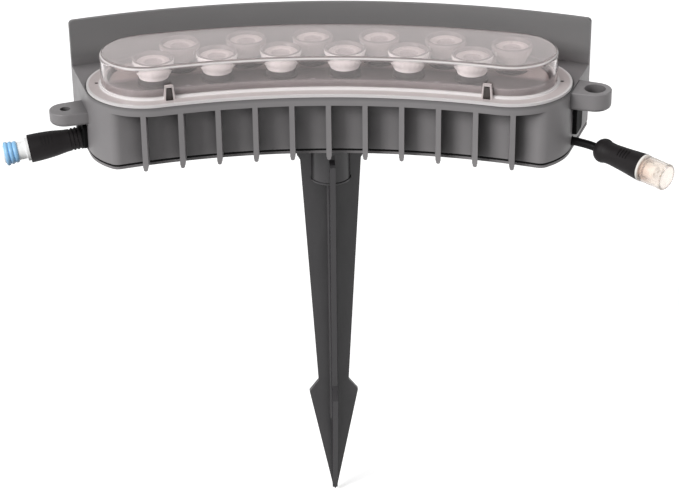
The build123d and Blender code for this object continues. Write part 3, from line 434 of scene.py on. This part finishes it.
def make_lenses():
    # radius, height in mm, and the slot of the band that ends there
    side, rim, ring, well = 0, 1, 2, 3
    prof = [(3.0, 60.0, side), (7.6, 60.0, side), (8.3, 60.25, side), (8.6, 60.9, side), (8.9, 61.6, side), (8.9, 62.3, side),
            (9.8, 63.4, side), (10.9, 65.2, side), (11.5, 66.8, side), (11.9, 68.2, side), (12.0, 69.4, side), (11.9, 70.1, side),
            (11.2, 70.5, rim), (10.6, 70.5, rim), (10.3, 70.1, rim), (10.0, 68.9, rim), (9.7, 68.3, rim),
            (9.3, 68.25, ring), (8.2, 68.7, ring), (6.6, 68.6, ring), (5.4, 68.0, ring),
            (5.0, 67.3, well), (4.0, 66.8, well), (2.0, 66.9, well)]
    n = 96
    me = bpy.data.meshes.new("lens_array")
    bm = bmesh.new()
    for k in range(12):
        ang = math.radians((k - 5.5) * 2.95)
        rad = 360.5 if k % 2 == 0 else 380.5
        cx, cy = rad * math.sin(ang), -362.0 + rad * math.cos(ang)
        rows = []
        for r, z, slot in prof:
            row = []
            for q in range(n):
                t = 2 * math.pi * q / n
                rr, zz = r, z
                if 62.5 < z < 69.0 and slot == side:
                    rr += 0.12 * math.cos(24 * t)
                if slot == ring and 5.5 < r < 9.0:
                    zz += 0.16 * math.cos(16 * t)
                row.append(bm.verts.new(((cx + rr * math.cos(t)) * MM, (cy + rr * math.sin(t)) * MM, zz * MM)))
            rows.append(row)
        for a in range(len(rows) - 1):
            for q in range(n):
                f = bm.faces.new((rows[a][q], rows[a][(q + 1) % n], rows[a + 1][(q + 1) % n], rows[a + 1][q]))
                f.material_index = 4 if prof[a + 1][2] == side and k % 2 else prof[a + 1][2]
                f.smooth = True
                deg = (360.0 * (q + 0.5) / n) % 360.0
                # painted glints on the lens ends
                if slot_painted_glint(prof[a + 1][1], prof[a + 1][2], deg):
                    f.material_index = 5
        top = bm.verts.new((cx * MM, cy * MM, 67.1 * MM))
        foot_row = [bm.verts.new(((cx + 2.6 * math.cos(2 * math.pi * q / n)) * MM,
                                  (cy + 2.6 * math.sin(2 * math.pi * q / n)) * MM, 62.8 * MM)) for q in range(n)]
        foot = bm.verts.new((cx * MM, cy * MM, 63.3 * MM))
        for q in range(n):
            f = bm.faces.new((rows[-1][q], rows[-1][(q + 1) % n], top))
            f.material_index = well
            f.smooth = True
            f = bm.faces.new((foot_row[q], foot_row[(q + 1) % n], rows[0][(q + 1) % n], rows[0][q]))
            f.material_index = side
            f.smooth = True
            f = bm.faces.new((foot, foot_row[(q + 1) % n], foot_row[q]))
            f.material_index = side
            f.smooth = True
    bmesh.ops.recalc_face_normals(bm, faces=bm.faces)
    bm.to_mesh(me)
    bm.free()
    ob = bpy.data.objects.new("lens_array", me)
    scene.collection.objects.link(ob)
    for name in ("lens_side", "lens_rim", "lens_ring", "lens_well", "lens_side_back", "lens_painted_glint"):
        me.materials.append(M[name])
    return ob


lenses = make_lenses()
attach(lenses, "lamp")
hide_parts("tir_lenses")

lead.data.materials.append(M["jacket"])
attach(lead, "lamp")
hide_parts("cable_right")

# ---------------------------------------------------------------------------
# floor and soft studio light
# ---------------------------------------------------------------------------
def make_floor(name, z, colour, glow):
    me = bpy.data.meshes.new(name)
    me.from_pydata([(-4, -4, z), (4, -4, z), (4, 4, z), (-4, 4, z)], [], [(0, 1, 2, 3)])
    ob = bpy.data.objects.new(name, me)
    scene.collection.objects.link(ob)
    pale = moulded(name + "_paint", colour, rough=0.8, var=0.005, bump=0.0, spec=0.1)
    bs = next(n for n in pale.node_tree.nodes if n.type == "BSDF_PRINCIPLED")
    bs.inputs["Emission Color"].default_value = (1.0, 1.0, 1.0, 1.0)
    bs.inputs["Emission Strength"].default_value = glow
    me.materials.append(pale)
    return ob


floor = make_floor("floor", -0.2345, (0.93, 0.93, 0.93, 1.0), 0.42)
floor.visible_diffuse = False
under = make_floor("floor_bounce", -0.2365, (0.2, 0.2, 0.2, 1.0), 0.0)
under.visible_camera = False
under.visible_glossy = False
under.visible_transmission = False


def area(name, loc, target, size, energy, color=(1, 1, 1), shape="RECTANGLE", size_y=None):
    li = bpy.data.lights.new(name, "AREA")
    li.shape = shape
    li.size = size
    if shape == "RECTANGLE":
        li.size_y = size_y or size
    li.energy = energy
    li.color = color
    ob = bpy.data.objects.new(name, li)
    ob.location = loc
    d = Vector(target) - Vector(loc)
    ob.rotation_euler = d.to_track_quat("-Z", "Y").to_euler()
    scene.collection.objects.link(ob)
    return ob


def panel(name, loc, target, sx, sy, radiance, color=(1, 1, 1)):
    return area(name, loc, target, sx, radiance * math.pi * sx * sy, color, "RECTANGLE", sy)


panel("key", (-3.1, -2.9, 2.7), (0, 0, 0), 2.4, 2.4, 11.2)
panel("back", (0.0, 2.1, 1.12), (0, 0, 0.05), 2.8, 1.3, 0.8)
panel("fill", (-1.0, -1.5, 0.7), (0, 0, 0), 1.1, 0.8, 1.7)
panel("side", (2.6, -0.55, 1.25), (0, 0, 0), 1.2, 1.2, 5.6)

world = bpy.data.worlds.new("world")
scene.world = world
world.use_nodes = True
wt = world.node_tree
soft = wt.nodes["Background"]
soft.inputs["Color"].default_value = (1.0, 1.0, 1.0, 1.0)
soft.inputs["Strength"].default_value = 0.25
sheet = wt.nodes.new("ShaderNodeBackground")
sheet.inputs["Color"].default_value = (1.0, 1.0, 1.0, 1.0)
sheet.inputs["Strength"].default_value = 0.97
seen = wt.nodes.new("ShaderNodeLightPath")
pick = wt.nodes.new("ShaderNodeMixShader")
wt.links.new(seen.outputs["Is Camera Ray"], pick.inputs["Fac"])
wt.links.new(soft.outputs["Background"], pick.inputs[1])
wt.links.new(sheet.outputs["Background"], pick.inputs[2])
wt.links.new(pick.outputs["Shader"], next(n for n in wt.nodes if n.type == "OUTPUT_WORLD").inputs["Surface"])
scene.view_settings.view_transform = "Standard"
